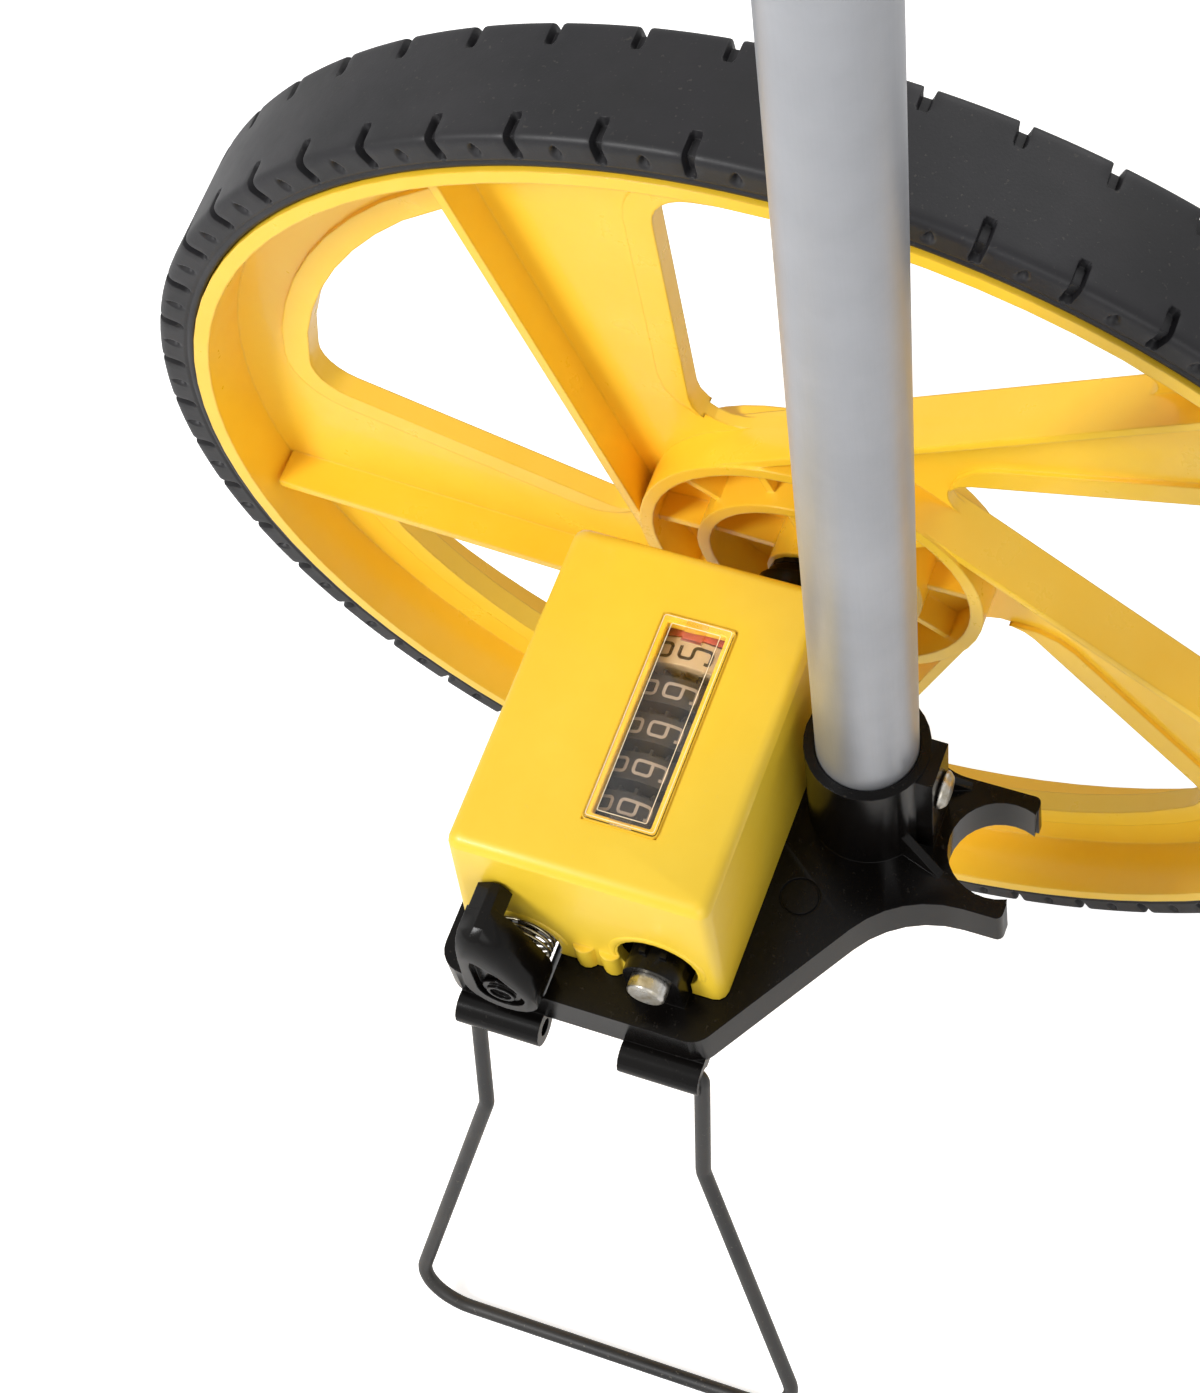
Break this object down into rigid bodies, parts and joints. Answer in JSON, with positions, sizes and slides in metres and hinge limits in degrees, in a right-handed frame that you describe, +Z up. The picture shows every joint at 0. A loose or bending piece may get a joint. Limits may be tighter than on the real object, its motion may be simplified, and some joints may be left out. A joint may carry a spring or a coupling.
{
  "type": "measuring wheel",
  "caption": "Yellow spoked road-measuring wheel with a drum counter in a yellow box, reset lever, wire stand and a silver tube handle that folds back into a clip.",
  "frame": {"origin": "the middle of the tyre's contact with the ground, on the tread's centre line", "axes": "+X is the way the wheel rolls, +Y runs along the axle from the wheel to the counter's side, +Z up"},
  "size_m": [0.3186, 0.1866, 1.024],
  "materials": {
    "wheel_yellow": "moulded yellow plastic, smooth, soft shine",
    "cover_yellow": "moulded yellow plastic, smooth, soft shine",
    "tyre_rubber": "dark grey solid rubber, dull",
    "steel": "zinc plated steel",
    "spring_steel": "bright drawn spring wire",
    "black_plastic": "black moulded plastic, semi-gloss",
    "dark_plastic": "black moulded plastic",
    "pale_plastic": "off-white moulded plastic",
    "red_plastic": "red moulded plastic",
    "clear_window": "clear moulded plastic window",
    "stand_black": "black coated steel wire",
    "tube_silver": "satin silver drawn tube",
    "grip_rubber": "black grip rubber"
  },
  "bodies": {
    "frame": {"bracket": "black_plastic", "axle_bush": "black_plastic", "counter_frame": "dark_plastic", "counter_cover": "cover_yellow", "window_lens": "clear_window", "cover_screw_1": "steel", "cover_screw_2": "steel", "cover_screw_3": "steel", "frame_screw_1": "steel", "frame_screw_2": "steel", "drum_shaft": "steel", "pinion_shaft": "steel", "lower_tube": "tube_silver", "socket_screw": "steel", "lower_knuckle": "black_plastic", "fold_pin": "steel", "lock_spring": "spring_steel"},
    "wheel": {"wheel": "wheel_yellow", "tyre": "tyre_rubber", "axle": "steel", "hub_washer_far": "steel", "hub_nut": "steel", "hub_washer_near": "black_plastic", "axle_clip": "spring_steel", "drive_gear": "pale_plastic"},
    "drum_1": {"input_gear": "red_plastic", "digit_drum_1": "pale_plastic"},
    "drum_2": {"digit_drum_2": "dark_plastic"},
    "drum_3": {"digit_drum_3": "dark_plastic"},
    "drum_4": {"digit_drum_4": "dark_plastic"},
    "drum_5": {"digit_drum_5": "dark_plastic"},
    "pinion_1": {"transfer_pinion_1": "pale_plastic"},
    "pinion_2": {"transfer_pinion_2": "pale_plastic"},
    "pinion_3": {"transfer_pinion_3": "pale_plastic"},
    "pinion_4": {"transfer_pinion_4": "pale_plastic"},
    "reset": {"reset_shaft": "steel", "reset_lever": "black_plastic", "lever_screw": "black_plastic", "reset_spring": "spring_steel"},
    "stand": {"kickstand": "stand_black"},
    "upper_handle": {"upper_knuckle": "black_plastic", "upper_tube": "tube_silver", "grip": "grip_rubber", "grip_cap": "grip_rubber"},
    "button": {"lock_button": "red_plastic"}
  },
  "joints": [
    {"name": "wheel_spin", "type": "hinge", "parent": "frame", "child": "wheel", "pos_m": [0, 0, 0.15915], "axis": [0, 1, 0], "continuous": true},
    {"name": "drum_spin_1", "type": "hinge", "parent": "frame", "child": "drum_1", "pos_m": [0.011, 0.05305, 0.17436], "axis": [0, 1, 0], "continuous": true},
    {"name": "drum_spin_2", "type": "hinge", "parent": "frame", "child": "drum_2", "pos_m": [0.011, 0.0625, 0.17436], "axis": [0, 1, 0], "continuous": true},
    {"name": "drum_spin_3", "type": "hinge", "parent": "frame", "child": "drum_3", "pos_m": [0.011, 0.07195, 0.17436], "axis": [0, 1, 0], "continuous": true},
    {"name": "drum_spin_4", "type": "hinge", "parent": "frame", "child": "drum_4", "pos_m": [0.011, 0.0814, 0.17436], "axis": [0, 1, 0], "continuous": true},
    {"name": "drum_spin_5", "type": "hinge", "parent": "frame", "child": "drum_5", "pos_m": [0.011, 0.09085, 0.17436], "axis": [0, 1, 0], "continuous": true},
    {"name": "pinion_spin_1", "type": "hinge", "parent": "frame", "child": "pinion_1", "pos_m": [-0.00484, 0.05815, 0.17574], "axis": [0, 1, 0], "continuous": true},
    {"name": "pinion_spin_2", "type": "hinge", "parent": "frame", "child": "pinion_2", "pos_m": [-0.00484, 0.0676, 0.17574], "axis": [0, 1, 0], "continuous": true},
    {"name": "pinion_spin_3", "type": "hinge", "parent": "frame", "child": "pinion_3", "pos_m": [-0.00484, 0.07705, 0.17574], "axis": [0, 1, 0], "continuous": true},
    {"name": "pinion_spin_4", "type": "hinge", "parent": "frame", "child": "pinion_4", "pos_m": [-0.00484, 0.0865, 0.17574], "axis": [0, 1, 0], "continuous": true},
    {"name": "reset_press", "type": "hinge", "parent": "frame", "child": "reset", "pos_m": [0.0322, 0.115, 0.15226], "axis": [0, -1, 0], "range_deg": [0, 25], "stiffness_Nm_per_rad": 0.15, "springref_deg": -17.19},
    {"name": "stand_fold", "type": "hinge", "parent": "frame", "child": "stand", "pos_m": [0, 0.1255, 0.13265], "axis": [-1, 0, 0], "range_deg": [0, 55]},
    {"name": "handle_fold", "type": "hinge", "parent": "frame", "child": "upper_handle", "pos_m": [-0.05873, 0.0589, 0.51334], "axis": [0.0001, -1, -0.0026], "range_deg": [0, 180]},
    {"name": "lock_press", "type": "slide", "parent": "frame", "child": "button", "axis": [-0.9993, 0, -0.037], "range_m": [0, 0.0022], "stiffness_N_per_m": 900, "springref_m": -0.003}
  ],
  "couplings": [
    {"joint": "drum_spin_1", "follows": "wheel_spin", "ratio": -1},
    {"joint": "drum_spin_2", "follows": "wheel_spin", "ratio": -0.1},
    {"joint": "drum_spin_3", "follows": "wheel_spin", "ratio": -0.01},
    {"joint": "drum_spin_4", "follows": "wheel_spin", "ratio": -0.001},
    {"joint": "drum_spin_5", "follows": "wheel_spin", "ratio": -0.0001},
    {"joint": "pinion_spin_1", "follows": "wheel_spin", "ratio": 0.25},
    {"joint": "pinion_spin_2", "follows": "wheel_spin", "ratio": 0.025},
    {"joint": "pinion_spin_3", "follows": "wheel_spin", "ratio": 0.0025},
    {"joint": "pinion_spin_4", "follows": "wheel_spin", "ratio": 0.00025}
  ]
}
